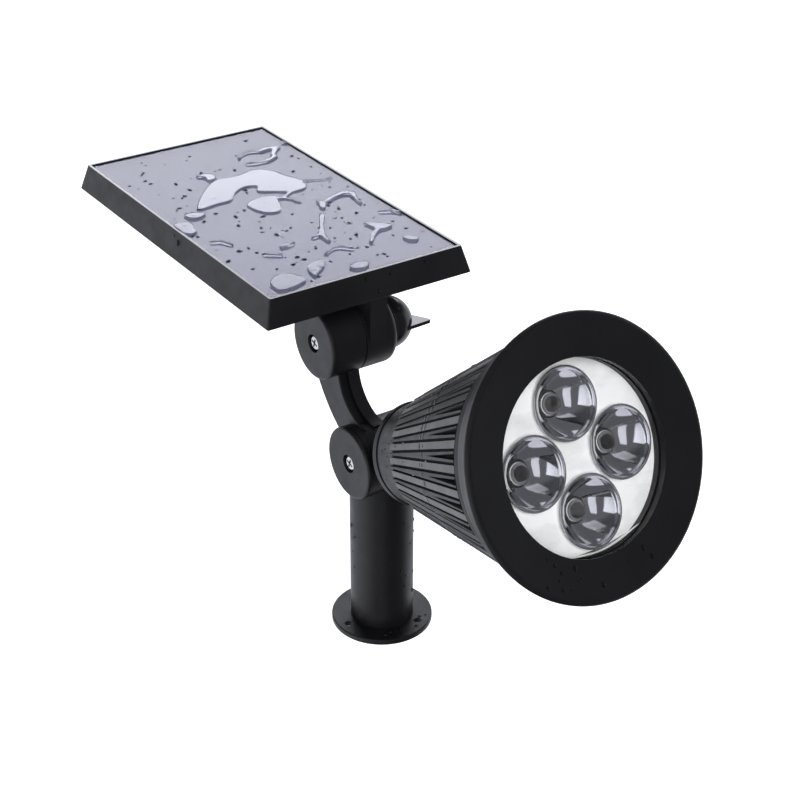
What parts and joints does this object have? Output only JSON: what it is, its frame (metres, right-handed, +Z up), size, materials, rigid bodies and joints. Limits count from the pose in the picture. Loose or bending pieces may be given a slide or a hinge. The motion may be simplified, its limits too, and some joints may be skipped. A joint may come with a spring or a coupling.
{
  "type": "solar garden light",
  "caption": "Solar garden spotlight on a screw-down post: a ribbed round lamp and a flat solar panel tilt on two clamp hinges joined by a curved arm.",
  "frame": {"origin": "centre of the base flange's underside, which is also the centre of its screw holes", "axes": "+Z up along the post; the lamp looks towards -Y and a little up; both hinge axes run along X with the thumb knobs on +X; the panel reaches back towards +Y"},
  "size_m": [0.096, 0.3036, 0.1789],
  "materials": {
    "black_plastic": "fine matt moulded black",
    "satin_plastic": "satin moulded black",
    "black_rubber": "matt",
    "bright_steel": "bright nickel plated",
    "brass": "machined",
    "clear_lens": "clear moulded",
    "chrome_reflector": "vacuum metallised, bright",
    "led_package": "phosphor",
    "white_board": "white solder mask on aluminium",
    "bare_aluminium": "milled",
    "battery_wrap": "shrink wrap",
    "grey_plastic": "moulded",
    "green_board": "solder mask",
    "solar_glass": "clear, glossy",
    "solar_cells": "laminated cells under fine silver lines"
  },
  "bodies": {
    "base": {"base_flange": "black_plastic", "mount_post": "black_plastic", "bracket_arm": "black_plastic", "lower_hinge_cap": "black_plastic", "upper_hinge_cap": "black_plastic", "lower_hinge_screw": "bright_steel", "upper_hinge_screw": "bright_steel", "lower_friction_washer": "black_rubber", "upper_friction_washer": "black_rubber", "post_screw": "bright_steel"},
    "lamp": {"lamp_neck": "black_plastic", "lamp_housing": "black_plastic", "bezel": "satin_plastic", "lens_seal": "black_rubber", "lens": "clear_lens", "lens_spacer": "black_plastic", "reflector": "chrome_reflector", "led_board": "white_board", "led_emitters": "led_package", "led_domes": "clear_lens", "heat_sink": "bare_aluminium", "led_board_screws": "bright_steel", "neck_screws": "bright_steel", "battery": "battery_wrap", "battery_cradle": "grey_plastic", "battery_contacts": "bright_steel", "driver_board": "green_board"},
    "panel": {"panel_tray": "black_plastic", "solar_glass": "solar_glass", "panel_seal": "black_rubber", "cell_sheet": "solar_cells", "back_cover": "black_plastic", "cover_screws": "bright_steel", "panel_knuckle": "black_plastic", "knuckle_screws": "bright_steel", "charge_board": "green_board", "mode_switch": "grey_plastic"},
    "lower_thumb_knob": {"lower_knob": "black_plastic", "lower_knob_insert": "brass"},
    "upper_thumb_knob": {"upper_knob": "black_plastic", "upper_knob_insert": "brass"},
    "mode_push_button": {"mode_button": "black_rubber"}
  },
  "joints": [
    {"name": "lamp_tilt", "type": "hinge", "parent": "base", "child": "lamp", "pos_m": [0, 0, 0.0781], "axis": [-1, 0, 0], "range_deg": [-46, 28]},
    {"name": "panel_tilt", "type": "hinge", "parent": "base", "child": "panel", "pos_m": [0, 0.024, 0.1202], "axis": [1, 0, 0], "range_deg": [-62, 30]},
    {"name": "lower_knob_turn", "type": "hinge", "parent": "base", "child": "lower_thumb_knob", "pos_m": [0, 0, 0.0781], "axis": [1, 0, 0], "continuous": true},
    {"name": "upper_knob_turn", "type": "hinge", "parent": "base", "child": "upper_thumb_knob", "pos_m": [0, 0.024, 0.1202], "axis": [1, 0, 0], "continuous": true},
    {"name": "mode_button_press", "type": "slide", "parent": "panel", "child": "mode_push_button", "axis": [0, -0.0209, 0.9998], "range_m": [0, 0.0012], "stiffness_N_per_m": 500, "springref_m": -0.0006}
  ]
}
